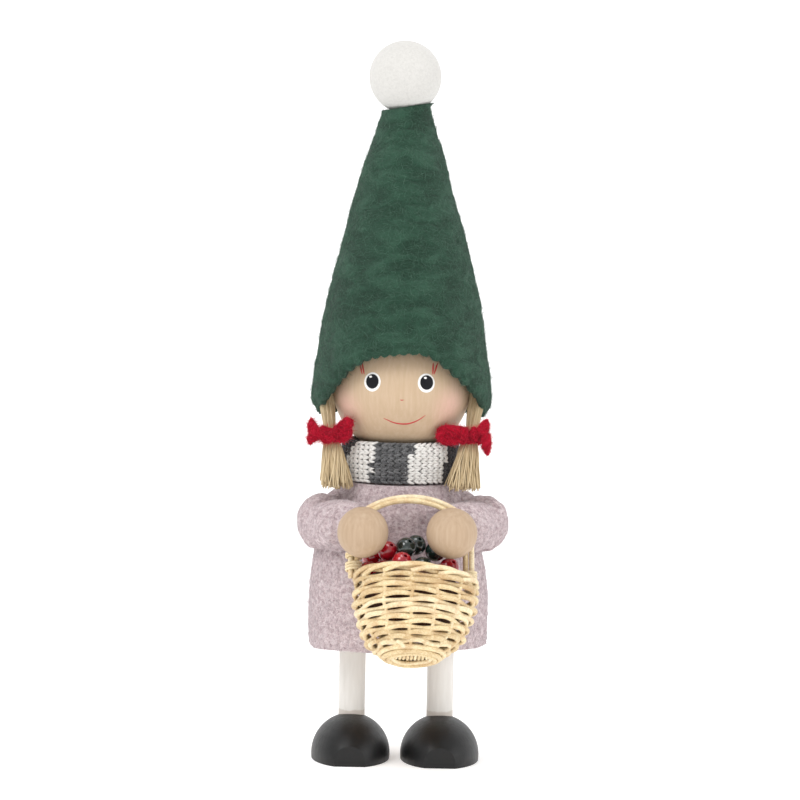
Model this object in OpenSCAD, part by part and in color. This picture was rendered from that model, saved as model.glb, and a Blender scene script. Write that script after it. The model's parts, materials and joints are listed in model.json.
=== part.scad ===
// Standing tomte girl with a berry basket: a wooden figurine in felt clothes.
// Millimetres. Z is up, the face looks along -Y, and +X is the figure's own left side.
// The origin is the middle of the whole object's box, on the ground.

/* [Head and hat] */
// Diameter of the wooden head ball
head_d = 34.8; // [28:0.2:42]
// Height of the middle of the head above the ground
head_z = 93.8; // [85:0.1:105]
// Height of the hat's truncated tip
hat_tip_z = 163.6; // [130:0.2:180]
// Radius of the hat at its brim
hat_brim_r = 22.5; // [19:0.1:26]
// Radius of the hat at its tip
hat_tip_r = 5.6; // [4:0.1:8]
// Height of the brim at the sides and the back
brim_z = 87.4; // [82:0.1:92]
// Slope of the brim where it rises over the face, in degrees
brim_slope = 44; // [20:1:60]
// Diameter of the ball on the hat's tip
pom_d = 18; // [12:0.2:24]

/* [Hair] */
// Length of hair below each yarn tie
tail_drop = 12.6; // [8:0.1:18]
// Radius of the hair at its cut end
tail_end_r = 3.9; // [2.5:0.1:5]
// Radius of the hair inside the yarn tie
tail_neck_r = 1.5; // [1.2:0.1:2]

/* [Body and clothes] */
// Largest radius of the coat
coat_r = 22.5; // [18:0.1:26]
// Height of the coat's hem
hem_z = 28.4; // [22:0.1:36]
// Thickness of the felt
felt_t = 1.2; // [0.8:0.1:2]
// Outer radius of the scarf
scarf_r = 14.9; // [13:0.1:16]
// Height of the scarf band
scarf_h = 11; // [8:0.1:13]
// Radius of the sleeve at the elbow
elbow_r = 7.1; // [5:0.1:8]
// Radius of the sleeve at the cuff
cuff_r = 4.9; // [4:0.1:6]

/* [Hands, legs and shoes] */
// Diameter of each wooden hand ball
hand_d = 12.4; // [10:0.1:14]
// Diameter of the wire in each arm
wire_d = 1.6; // [1.2:0.1:2.4]
// Diameter of each leg dowel
leg_d = 6.7; // [5:0.1:8]
// Distance between the middles of the two legs
leg_gap = 22.2; // [20.5:0.1:26]
// Width of each shoe
shoe_w = 19.8; // [16:0.1:20]

/* [Basket] */
// Half the width of the basket at its widest
basket_a = 15.3; // [12:0.1:17]
// Depth of the basket as a share of its width
basket_oval = 0.72; // [0.6:0.01:0.8]
// Height of the basket wall
basket_h = 20.6; // [16:0.1:22]
// Diameter of one cane
cane_d = 1.2; // [0.8:0.1:1.4]
// How far the basket leans back against the coat, in degrees
basket_lean = 29; // [20:1:34]
// How far the basket hangs out of level from side to side, in degrees
basket_roll = 1; // [0:1:6]
// Diameter of one berry bead
berry_d = 5; // [4:0.1:5]

/* [Show] */
// Sub-part to draw, or all of them

/* [Hidden] */
$fn = 120;
glue = 0.06;          // room left for glue round a seated piece
play = 0.35;          // room between pieces that move past each other
big = 200;            // larger than the object

// The figure's own axis, from the middle of the whole object's box
axis_x = -0.8;
axis_y = 12.6;

// Coat and core
coat_top_z = 70;
neck_top_z = head_z - head_d / 2 - play;
core_bottom_z = hem_z + 2.4;
peg_r = 3;
peg_bottom_z = 60;
peg_top_z = head_z - 5;
coat_profile = [[coat_r - 0.9, hem_z], [coat_r - 0.3, hem_z + 3.6],
    [coat_r, hem_z + 9.4], [coat_r - 0.1, hem_z + 14], [coat_r - 0.5, hem_z + 18],
    [coat_r - 1.2, hem_z + 22], [coat_r - 2.6, hem_z + 28.6],
    [coat_r - 4.6, hem_z + 34.6], [coat_r - 6.9, hem_z + 39], [13.9, coat_top_z]];

// Hat: radius at shares of the way from the brim to the tip
hat_bottom_z = brim_z - 1.4;
hat_rise = hat_tip_z - brim_z;
hat_span = hat_brim_r - hat_tip_r;
hat_shares = [[0, 1], [0.09, 0.985], [0.25, 0.9], [0.365, 0.79], [0.51, 0.64],
    [0.685, 0.43], [0.85, 0.22], [1, 0]];
brim_turn_y = -6;

// Pigtails: where each leaves the hat, its tie and its end, on the left side
tail_tie = [17.2, -9, 82.4];
tail_top = [tail_tie[0], tail_tie[1], 93];
tail_end = [15.9, -12.2, tail_tie[2] - tail_drop];
tie_r = 0.8;
tie_ring_r = 3.3;
loop_r = 1.7;

// Arms, in a frame turned a little about the figure's axis
arms_turn = 3.3;
shoulder = [13, -0.5, 64.5];
shoulder_r = 5.3;
elbow_left = [19.7, -5.5, 61];
elbow_right = [-18.7, -5.5, 61];
wrist_x = 10.8;
wire_left_x = 10.8;
wire_right_x = -9.8;  // off the middle of the hand, inside the handle's leg
wrist_z = 60.8;
hinge_y = -26.4;
cuff_y = hinge_y + 3.7;
wrist_y = cuff_y + 0.7; // where the wire bends, just clear of the sleeve
hand_y = hinge_y - 9;
wire_in = 7.5;        // from the axis to the wire's end in the body
bend_r = 0.1;         // how much wider the bore is at a bend

// Legs and shoes
leg_bottom_z = 3;
leg_top_z = 44;
shoe_axis_z = 1.2;
shoe_wide_y = -2;
toe_stretch = 1.65;
heel_stretch = 1.2;
toe_y = -17;
heel_y = 9;

// Basket: heights are from the line where the handle hangs on the wires
basket_x = 1.5;
rim_h = -13.3;
base_t = 1.6;
wall_t = 1.7;
base_h = rim_h - basket_h;
rim_r = 1.2;
bowl = [[7.7, base_h + base_t + 0.1], [10.2, base_h + 2.6], [12.3, base_h + 5],
    [14.1, base_h + 9.8], [basket_a, base_h + 14.8], [basket_a - 0.1, rim_h - rim_r]];

// Handle: two canes side by side, each with straight legs and an arch between them
arch_a = 13.3;        // half the width of the inner cane
arch_rise = 9.4;      // height of the inner arch above its legs
arch_step = cane_d + 0.25;
arch_spring_h = -2;
arch_foot_h = rim_h - 1.2;
leg_cane_d = cane_d + 0.1;

// Beads: positions from the middle of the hinge line, before any swing
reds = [[-4.4, -3.2, -5.2], [-8, 0.4, -7.2], [10.9, -1.2, -9.4], [-8.9, -4, -10.1],
    [-1.2, -9.3, -7.1], [-5.6, -8, -9.4], [8.6, -6.3, -10.2], [-1.6, 1.1, -6.8]];
greens = [[0, -5.5, -4], [7.4, -1, -5.4], [2.6, -0.9, -3.9], [3.9, -8.2, -8.4]];

wood = [0.86, 0.75, 0.62];
cane = [0.88, 0.78, 0.55];
red = [0.7, 0.05, 0.1];
green = [0.03, 0.1, 0.08];
mauve = [0.72, 0.64, 0.66];

// ---- shared helpers ----

module on_axis() {
    translate([axis_x, axis_y, 0]) children();
}

module in_arm_frame() {
    on_axis() rotate([0, 0, arms_turn]) children();
}

module at_hinge() {
    in_arm_frame() translate([0, hinge_y, wrist_z]) children();
}

module in_basket() {
    at_hinge()
        rotate([-basket_lean, 0, 0])
            rotate([0, basket_roll, 0])
                translate([basket_x, 0, 0]) children();
}

// A straight round bar or cone from one point to another
module rod(from, to, r1, r2) {
    d = to - from;
    length = norm(d);
    translate(from)
        rotate([0, acos(d[2] / length), atan2(d[1], d[0])])
            cylinder(h = length, r1 = r1, r2 = r2);
}

function mirrored(p) = [-p[0], p[1], p[2]];

function wire_x(side) = side > 0 ? wire_left_x : wire_right_x;

function hat_radius(share) = hat_tip_r + hat_span * share;

// The coat's outside as a solid, grown by a small amount
module coat_outside(grow) {
    rotate_extrude()
        polygon(concat([[0, hem_z - grow]],
            [for (p = coat_profile) [p[0] + grow, p[1] + (p[1] == hem_z ? -grow : grow)]],
            [[0, coat_top_z + grow]]));
}

// ---- head body ----

module pom_ball() {
    color([0.93, 0.92, 0.9])
        on_axis()
            difference() {
                translate([0, 0, hat_tip_z + pom_d / 2 - 1.6]) sphere(d = pom_d);
                translate([0, 0, hat_tip_z - big + glue])
                    cylinder(h = big, r = pom_d);
            }
}

module hat() {
    color([0.13, 0.3, 0.2])
        on_axis()
            difference() {
                rotate_extrude()
                    polygon(concat([[0, hat_bottom_z], [hat_brim_r, hat_bottom_z]],
                        [for (s = hat_shares) [hat_radius(s[1]), brim_z + hat_rise * s[0]]],
                        [[0, hat_tip_z]]));
                translate([0, 0, head_z]) sphere(d = head_d + 2 * glue);
                translate([0, brim_turn_y, brim_z])
                    rotate([-brim_slope, 0, 0])
                        translate([-big / 2, -big / 2, -big]) cube([big, big, big]);
                translate([0, 0, hat_bottom_z - 1])
                    cylinder(h = head_z - hat_bottom_z + 1, r = head_d / 2 + glue);
                for (top = [tail_top, mirrored(tail_top)])
                    translate([top[0], top[1], hat_bottom_z - 1])
                        cylinder(h = top[2] - hat_bottom_z + 1.1, r = 2.3);
            }
}

module head() {
    color(wood)
        on_axis()
            difference() {
                translate([0, 0, head_z]) sphere(d = head_d);
                cylinder(h = peg_top_z + play, r = peg_r + play);
            }
}

module pigtail(top, tie, end) {
    on_axis() {
        rod(tie, top, tail_neck_r, 1.9);
        translate(tie) sphere(r = tail_neck_r + 0.15);
        rod(end, tie, tail_end_r, tail_neck_r);
    }
}

module pigtail_left() {
    color([0.75, 0.65, 0.48]) pigtail(tail_top, tail_tie, tail_end);
}

module pigtail_right() {
    color([0.75, 0.65, 0.48])
        pigtail(mirrored(tail_top), mirrored(tail_tie), mirrored(tail_end));
}

// A ball of flat facets, which joins other shapes cleanly
module facet_ball(r, sides) {
    hull() sphere(r = r, $fn = sides);
}

// Yarn wound round the hair, with a loop towards the face and an end on the outside
module hair_tie(tie, out) {
    translate(tie)
        difference() {
            union() {
                hull() cylinder(h = 2 * tie_r, r = tie_ring_r + tie_r, center = true, $fn = 48);
                translate([-out * 4.2, -2.6, 0.7]) facet_ball(loop_r, 24);
                translate([out * 4.7, -0.8, 0.7]) facet_ball(loop_r, 24);
            }
            hull() cylinder(h = 4 * loop_r, r = tie_ring_r - tie_r, center = true, $fn = 48);
        }
}

module hair_tie_left() {
    color(red) on_axis() hair_tie(tail_tie, 1);
}

module hair_tie_right() {
    color(red) on_axis() hair_tie(mirrored(tail_tie), -1);
}

// ---- standing body ----

module neck_peg() {
    color(wood)
        on_axis()
            translate([0, 0, peg_bottom_z])
                cylinder(h = peg_top_z - peg_bottom_z, r = peg_r);
}

module body_core() {
    color(wood)
        difference() {
            on_axis()
                difference() {
                    union() {
                        rotate_extrude()
                            polygon(concat([[0, core_bottom_z],
                                [coat_r - 0.6 - felt_t - glue, core_bottom_z]],
                                [for (p = coat_profile)
                                    if (p[1] > core_bottom_z && p[1] < coat_top_z)
                                        [p[0] - felt_t - glue, p[1] - glue]],
                                [[12.6, coat_top_z - felt_t - glue],
                                    [0, coat_top_z - felt_t - glue]]));
                        cylinder(h = neck_top_z, r = 4.5);
                    }
                    translate([0, 0, peg_bottom_z])
                        cylinder(h = big, r = peg_r + glue);
                    translate([0, 0, core_bottom_z - big]) cylinder(h = big, r = big);
                    for (side = [-1, 1])
                        translate([side * leg_gap / 2, 0, 0])
                            cylinder(h = leg_top_z + glue, d = leg_d + 2 * glue);
                }
            arm_path(1, elbow_left, wire_d / 2 + glue);
            arm_path(-1, elbow_right, wire_d / 2 + glue);
        }
}

module coat() {
    color(mauve)
        difference() {
            on_axis()
                difference() {
                    coat_outside(0);
                    rotate_extrude()
                        polygon(concat([[0, hem_z - 1],
                            [coat_profile[0][0] - felt_t, hem_z - 1]],
                            [for (p = coat_profile) if (p[1] < coat_top_z)
                                [p[0] - felt_t, p[1]]],
                            [[12.6, coat_top_z - felt_t], [0, coat_top_z - felt_t]]));
                    cylinder(h = big, r = 4.5 + glue);
                }
            arm_path(1, elbow_left, wire_d / 2 + glue);
            arm_path(-1, elbow_right, wire_d / 2 + glue);
        }
}

module scarf() {
    color([0.6, 0.6, 0.6])
        on_axis()
            difference() {
                rotate_extrude()
                    polygon([[4.6, coat_top_z + glue],
                        [scarf_r - 1.2, coat_top_z + glue],
                        [scarf_r, coat_top_z + 2.2],
                        [scarf_r, coat_top_z + scarf_h - 2.4],
                        [scarf_r - 1, coat_top_z + scarf_h],
                        [4.6, coat_top_z + scarf_h]]);
                translate([0, 0, head_z]) sphere(d = head_d + 2 * play);
            }
}

// The wire of one arm: out of the body, round the elbow and forward through the hand
module arm_path(side, elbow, r) {
    start = [side * wire_in, -0.5, shoulder[2] - 0.6];
    wrist = [wire_x(side), wrist_y, wrist_z];
    end = [wire_x(side), hand_y - 1.5, wrist_z];
    in_arm_frame() {
        rod(start, elbow, r, r);
        translate(elbow) sphere(r = r + bend_r);
        rod(elbow, wrist, r, r);
        translate(wrist) sphere(r = r + bend_r);
        rod(wrist, end, r, r);
    }
}

module sleeve(side, elbow) {
    from = [side * shoulder[0], shoulder[1], shoulder[2]];
    cuff = [side * wrist_x, cuff_y + 2, wrist_z];
    difference() {
        in_arm_frame() {
            translate(from) sphere(r = shoulder_r);
            rod(from, elbow, shoulder_r - 0.5, elbow_r - 0.9);
            translate(elbow) sphere(r = elbow_r);
            rod(elbow, cuff, elbow_r - 0.9, cuff_r);
        }
        on_axis() coat_outside(glue);
        arm_path(side, elbow, wire_d / 2 + glue);
    }
}

module sleeve_left() {
    color(mauve) sleeve(1, elbow_left);
}

module sleeve_right() {
    color(mauve) sleeve(-1, elbow_right);
}

module wire_run(from, to) {
    hull() {
        translate(from) sphere(d = wire_d, $fn = 24);
        translate(to) sphere(d = wire_d, $fn = 24);
    }
}

// The bent wire itself, with round ends just inside the ends of its bore
module arm_wire(side, elbow) {
    start = [side * (wire_in + 1.1), -0.95, shoulder[2] - 0.85];
    wrist = [wire_x(side), wrist_y, wrist_z];
    end = [wire_x(side), hand_y - 0.4, wrist_z];
    color([0.6, 0.6, 0.62])
        in_arm_frame() {
            wire_run(start, elbow);
            wire_run(elbow, wrist);
            wire_run(wrist, end);
        }
}

module arm_wire_left() {
    arm_wire(1, elbow_left);
}

module arm_wire_right() {
    arm_wire(-1, elbow_right);
}

module hand(side, elbow) {
    difference() {
        in_arm_frame()
            translate([side * wrist_x, hand_y, wrist_z]) sphere(d = hand_d);
        arm_path(side, elbow, wire_d / 2 + glue);
    }
}

module hand_left() {
    color(wood) hand(1, elbow_left);
}

module hand_right() {
    color(wood) hand(-1, elbow_right);
}

module leg(side) {
    on_axis()
        translate([side * leg_gap / 2, 0, leg_bottom_z])
            cylinder(h = leg_top_z - leg_bottom_z, d = leg_d);
}

module leg_left() {
    color([0.9, 0.88, 0.85]) leg(1);
}

module leg_right() {
    color([0.9, 0.88, 0.85]) leg(-1);
}

// Half of a stretched ball, on one side of its widest line
module half_ball(stretch, forward) {
    scale([1, stretch, 1])
        intersection() {
            sphere(d = shoe_w);
            translate([-big / 2, forward ? -big : 0, -big / 2]) cube([big, big, big]);
        }
}

// A turned egg lying along Y, flat underneath and at both ends
module shoe(side) {
    on_axis()
        translate([side * (leg_gap / 2 + 0.1), 0, 0])
            difference() {
                intersection() {
                    translate([0, shoe_wide_y, shoe_axis_z]) {
                        half_ball(toe_stretch, true);
                        half_ball(heel_stretch, false);
                    }
                    translate([-shoe_w, toe_y, 0])
                        cube([2 * shoe_w, heel_y - toe_y, shoe_w]);
                }
                translate([-side * 0.1, 0, leg_bottom_z])
                    cylinder(h = big, d = leg_d + 2 * glue);
            }
}

module shoe_left() {
    color([0.12, 0.12, 0.12]) shoe(1);
}

module shoe_right() {
    color([0.12, 0.12, 0.12]) shoe(-1);
}

// ---- basket body ----

// The bores in the rim in which both feet of the handle are stuck
module handle_feet(r) {
    for (side = [-1, 1], a = [arch_a, arch_a + arch_step])
        translate([side * a, 0, arch_foot_h - glue]) cylinder(h = 12, r = r);
}

module basket_wall() {
    color(cane)
        in_basket()
            scale([1, basket_oval, 1])
                rotate_extrude()
                    polygon(concat(bowl,
                        [for (i = [len(bowl) - 1:-1:0])
                            [bowl[i][0] - wall_t, bowl[i][1]]]));
}

module basket_base() {
    color(cane)
        in_basket()
            scale([1, basket_oval, 1])
                translate([0, 0, base_h]) cylinder(h = base_t, r = 7.6);
}

module basket_rim() {
    color(cane)
        in_basket()
            difference() {
                scale([1, basket_oval, 1])
                    translate([0, 0, rim_h + glue])
                        rotate_extrude()
                            translate([basket_a - 1, 0]) circle(r = rim_r);
                handle_feet(leg_cane_d / 2 + glue);
            }
}

// One cane of the handle, offset outwards from the inner one
module arch_cane(out) {
    for (side = [-1, 1])
        translate([side * (arch_a + out), 0, arch_foot_h])
            cylinder(h = arch_spring_h + 0.2 - arch_foot_h, d = leg_cane_d);
    translate([0, 0, arch_spring_h])
        scale([1, 1, arch_rise / arch_a])
            rotate([90, 0, 0])
                rotate_extrude(angle = 180)
                    translate([arch_a + out, 0]) circle(d = cane_d);
}

module basket_handle() {
    color(cane)
        in_basket() {
            arch_cane(0);
            arch_cane(arch_step);
        }
}

// The mound under the beads, with a dimple for each
module basket_filler() {
    color([0.5, 0.35, 0.25])
        difference() {
            in_basket()
                translate([0, 0, rim_h - 4.9])
                    scale([12.4, 8.7, 9.8]) facet_ball(1, 64);
            at_hinge()
                for (p = concat(reds, greens))
                    translate(p) facet_ball(berry_d / 2 + 2 * glue, 32);
        }
}

module berry(p) {
    at_hinge()
        translate(p)
            difference() {
                sphere(d = berry_d);
                rotate([40, 25, 0]) cylinder(h = berry_d + 1, d = 1, center = true);
            }
}

module berry_red_1() {
    color(red) berry(reds[0]);
}

module berry_red_2() {
    color(red) berry(reds[1]);
}

module berry_red_3() {
    color(red) berry(reds[2]);
}

module berry_red_4() {
    color(red) berry(reds[3]);
}

module berry_red_5() {
    color(red) berry(reds[4]);
}

module berry_red_6() {
    color(red) berry(reds[5]);
}

module berry_red_7() {
    color(red) berry(reds[6]);
}

module berry_red_8() {
    color(red) berry(reds[7]);
}

module berry_green_1() {
    color(green) berry(greens[0]);
}

module berry_green_2() {
    color(green) berry(greens[1]);
}

module berry_green_3() {
    color(green) berry(greens[2]);
}

module berry_green_4() {
    color(green) berry(greens[3]);
}

pom_ball();
hat();
head();
pigtail_left();
pigtail_right();
hair_tie_left();
hair_tie_right();
neck_peg();
body_core();
coat();
scarf();
sleeve_left();
sleeve_right();
arm_wire_left();
arm_wire_right();
hand_left();
hand_right();
leg_left();
leg_right();
shoe_left();
shoe_right();
basket_wall();
basket_base();
basket_rim();
basket_handle();
basket_filler();
berry_red_1();
berry_red_2();
berry_red_3();
berry_red_4();
berry_red_5();
berry_red_6();
berry_red_7();
berry_red_8();
berry_green_1();
berry_green_2();
berry_green_3();
berry_green_4();
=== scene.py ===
"""Tomte girl with a berry basket: the looks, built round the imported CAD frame.

Meshes are made in millimetres in the CAD frame and scaled to metres when they become objects.
"Left" and "right" are the figure's own sides: its left is at +X, the viewer's right.
"""

import json
import math

import bpy
import numpy as np
from mathutils import Matrix, Vector, noise


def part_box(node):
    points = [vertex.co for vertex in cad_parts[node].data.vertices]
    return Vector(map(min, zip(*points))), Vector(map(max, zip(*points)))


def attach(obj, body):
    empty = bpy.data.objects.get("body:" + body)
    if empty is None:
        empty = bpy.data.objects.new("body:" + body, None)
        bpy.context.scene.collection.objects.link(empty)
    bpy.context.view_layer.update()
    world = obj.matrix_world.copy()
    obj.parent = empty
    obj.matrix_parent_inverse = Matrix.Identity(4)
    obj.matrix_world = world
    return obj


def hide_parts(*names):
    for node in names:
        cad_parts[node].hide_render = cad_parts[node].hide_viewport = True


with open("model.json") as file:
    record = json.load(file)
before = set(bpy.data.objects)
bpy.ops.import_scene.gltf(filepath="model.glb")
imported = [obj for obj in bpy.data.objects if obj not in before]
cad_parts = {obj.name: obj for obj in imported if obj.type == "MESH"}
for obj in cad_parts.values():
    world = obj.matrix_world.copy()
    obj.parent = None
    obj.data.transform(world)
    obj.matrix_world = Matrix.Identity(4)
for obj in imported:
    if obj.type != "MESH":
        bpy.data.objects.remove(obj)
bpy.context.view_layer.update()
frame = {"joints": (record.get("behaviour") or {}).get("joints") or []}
MM = 0.001

# ------------------------------------------------------------------ places from the CAD


def cad_box(node):
    """Lowest and highest corner of a CAD node, in millimetres."""
    low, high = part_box(node)
    return np.array(low) / MM, np.array(high) / MM


def cad_middle(node):
    low, high = cad_box(node)
    return (low + high) / 2


def cad_joint(name):
    return next(j for j in frame["joints"] if j["name"] == name)


AXIS = cad_middle("neck_peg") * [1, 1, 0]
HEAD = cad_middle("pom_ball") * [1, 1, 0] + [0, 0, cad_box("head")[0][2] + 17.4]
HEAD_R = 17.4
HINGE = np.array(cad_joint("basket_swing")["pos_m"]) / MM
HINGE_AXIS = np.array(cad_joint("basket_swing")["axis"])
ARMS_TURN = math.atan2(-HINGE_AXIS[1], -HINGE_AXIS[0])


# ------------------------------------------------------------------ mesh helpers


def dice(seed):
    return np.random.default_rng(seed)


def unit(v):
    v = np.asarray(v, float)
    return v / np.maximum(np.linalg.norm(v, axis=-1, keepdims=True), 1e-9)


def smooth(x, low, high):
    """0 below low, 1 above high, and smooth between."""
    t = np.clip((np.asarray(x, float) - low) / (high - low), 0, 1)
    return t * t * (3 - 2 * t)


def lumps(points, size, seed=0):
    """Smooth noise from about -1 to 1, with lumps of that size in millimetres."""
    shift = Vector((seed * 17.3, seed * 5.1, seed * 9.7))
    flat = np.asarray(points, float).reshape(-1, 3) / size
    values = [noise.noise(Vector(p) + shift) for p in flat]
    return np.array(values).reshape(np.shape(points)[:-1])


class Bag:
    """Gathers closed pieces, in millimetres, and turns them into one object."""

    def __init__(self):
        self.points, self.faces, self.slots, self.count = [], [], [], 0

    def add(self, points, faces, slot=0):
        points = np.asarray(points, float).reshape(-1, 3)
        for group in faces:
            self.faces.append(np.asarray(group) + self.count)
            self.slots.append(np.full(len(group), slot))
        self.points.append(points)
        self.count += len(points)

    def arrays(self):
        return np.concatenate(self.points), self.faces, np.concatenate(self.slots)

    def object(self, name, materials, body, replaces=()):
        points, groups, slots = self.arrays()
        mesh = bpy.data.meshes.new(name)
        faces = [row for group in groups for row in group.tolist()]
        mesh.from_pydata((points * MM).tolist(), [], faces)
        mesh.polygons.foreach_set("material_index", slots.astype(np.int32))
        mesh.polygons.foreach_set("use_smooth", np.ones(len(faces), bool))
        for material in materials:
            mesh.materials.append(material)
        mesh.update()
        piece = bpy.data.objects.new(name, mesh)
        bpy.context.scene.collection.objects.link(piece)
        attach(piece, body)
        if replaces:
            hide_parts(*replaces)
        return piece


def grid_faces(rows, columns, wrap=True, start=0):
    """Quads over a grid of points, facing outwards when columns run anticlockwise from above."""
    row = np.arange(rows - 1)[:, None] * columns
    column = np.arange(columns if wrap else columns - 1)[None, :]
    after = (column + 1) % columns
    quads = np.stack(
        [row + column, row + after, row + columns + after, row + columns + column], -1
    )
    return quads.reshape(-1, 4) + start


def shell(outer, inner):
    """A closed skin between two grids of points, each of rows going up and columns round."""
    rows, columns = outer.shape[:2]
    size = rows * columns
    ring = np.arange(columns)
    after = (ring + 1) % columns
    top = (rows - 1) * columns
    bottom_edge = np.stack([ring + size, after + size, after, ring], -1)
    top_edge = np.stack([top + ring, top + after, top + size + after, top + size + ring], -1)
    faces = [
        grid_faces(rows, columns),
        grid_faces(rows, columns, start=size)[:, ::-1],
        bottom_edge,
        top_edge,
    ]
    points = np.concatenate([outer.reshape(-1, 3), inner.reshape(-1, 3)])
    return points, faces


def ball(middle, radii, rows=48, columns=96, shape=None):
    """A round closed body with its poles along Z. shape may move its points."""
    tilt = np.linspace(0, math.pi, rows + 1)[1:-1]
    turn = np.linspace(0, 2 * math.pi, columns, endpoint=False)
    ring = np.stack(
        [
            np.sin(tilt)[:, None] * np.cos(turn),
            np.sin(tilt)[:, None] * np.sin(turn),
            np.repeat(-np.cos(tilt)[:, None], columns, 1),
        ],
        -1,
    ).reshape(-1, 3)
    points = np.concatenate([ring, [[0, 0, -1], [0, 0, 1]]])
    if shape is not None:
        points = shape(points)
    points = points * radii + middle
    count = len(ring)
    around = np.arange(columns)
    after = (around + 1) % columns
    last = count - columns
    bottom = np.stack([after, around, np.full(columns, count)], -1)
    top = np.stack([last + around, last + after, np.full(columns, count + 1)], -1)
    return points, [grid_faces(rows - 1, columns), bottom, top]


def tubes(paths, radii, sides=6, closed=False):
    """Round tubes along paths that all have the same number of points."""
    paths = np.asarray(paths, float)
    if paths.ndim == 2:
        paths = paths[None]
    count, steps, _ = paths.shape
    radii = np.broadcast_to(np.asarray(radii, float), (count, steps))
    if closed:
        ahead = unit(np.roll(paths, -1, 1) - np.roll(paths, 1, 1))
    else:
        ahead = unit(np.gradient(paths, axis=1))
    axes = np.eye(3)[np.argmin(np.abs(ahead[:, 0]), axis=1)]
    across = unit(np.cross(ahead[:, 0], axes))
    normals = np.empty_like(paths)
    for i in range(steps):
        along = ahead[:, i]
        across = unit(across - (across * along).sum(1, keepdims=True) * along)
        normals[:, i] = across
    turn = np.linspace(0, 2 * math.pi, sides, endpoint=False)
    rings = (
        np.cos(turn)[:, None] * normals[:, :, None]
        + np.sin(turn)[:, None] * np.cross(ahead, normals)[:, :, None]
    )
    points = paths[:, :, None] + radii[:, :, None, None] * rings
    one = grid_faces(steps + closed, sides) % (steps * sides)
    starts = np.arange(count)[:, None, None] * steps * sides
    faces = [(one[None] + starts).reshape(-1, 4)]
    if not closed:
        ring = np.arange(sides)
        first = np.arange(count)[:, None] * steps * sides
        faces.append(first + ring[::-1])
        faces.append(first + (steps - 1) * sides + ring)
    return points.reshape(-1, 3), faces


def spline(points, steps):
    """A smooth line of evenly spaced points through a few given ones."""
    points = np.asarray(points, float)
    padded = np.vstack([2 * points[0] - points[1], points, 2 * points[-1] - points[-2]])
    t = np.linspace(0, 1, 12, endpoint=False)[:, None]
    fine = []
    for a, b, c, d in zip(padded, padded[1:], padded[2:], padded[3:]):
        fine.append(
            0.5
            * (2 * b + (c - a) * t + (2 * a - 5 * b + 4 * c - d) * t**2 + (3 * b - a - 3 * c + d) * t**3)
        )
    fine = np.vstack(fine + [points[-1:]])
    gone = np.concatenate([[0], np.cumsum(np.linalg.norm(np.diff(fine, axis=0), axis=1))])
    want = np.linspace(0, gone[-1], steps)
    return np.stack([np.interp(want, gone, fine[:, k]) for k in range(3)], -1)


def sampled(points, faces, count, rng, keep=None):
    """Random points and normals on the quads of a surface."""
    quads = np.concatenate([np.asarray(g) for g in faces if np.shape(g)[1] == 4])
    a, b, c, d = (points[quads[:, k]] for k in range(4))
    cross = np.cross(c - a, d - b)
    area = np.linalg.norm(cross, axis=1)
    if keep is not None:
        area = area * keep((a + c) / 2, unit(cross))
    pick = rng.choice(len(quads), count, p=area / area.sum())
    u, v = rng.random((2, count, 1))
    low = a[pick] * (1 - u) + b[pick] * u
    high = d[pick] * (1 - u) + c[pick] * u
    return low * (1 - v) + high * v, unit(cross[pick])


def fibres(points, normals, rng, length, radius, rise, sides=3):
    """Short curved hairs that lie on a surface, each with one end lifted a little."""
    count = len(points)
    tangent = unit(np.cross(normals, unit(rng.normal(size=(count, 3)))))
    sideways = np.cross(normals, tangent)
    long = rng.uniform(0.4, 1, (count, 1)) * length
    bend = rng.uniform(-0.35, 0.35, (count, 1))
    lift = rng.random((count, 1)) ** 3 * rise + 0.02
    line = []
    for t in (0, 0.33, 0.66, 1):
        line.append(
            points
            + tangent * long * (t - 0.3)
            + sideways * long * bend * (t - 0.5) ** 2 * 4
            + normals * (lift * t**2 + 0.02)
        )
    return tubes(np.stack(line, 1), [radius, radius, radius * 0.8, radius * 0.4], sides)


# ------------------------------------------------------------------ material helpers


def srgb(red, green, blue):
    """A colour given as 0 to 255 on screen, as Blender's linear colour."""
    levels = [v / 255 for v in (red, green, blue)]
    linear = [v / 12.92 if v < 0.04 else ((v + 0.055) / 1.055) ** 2.4 for v in levels]
    return (*linear, 1)


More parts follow.
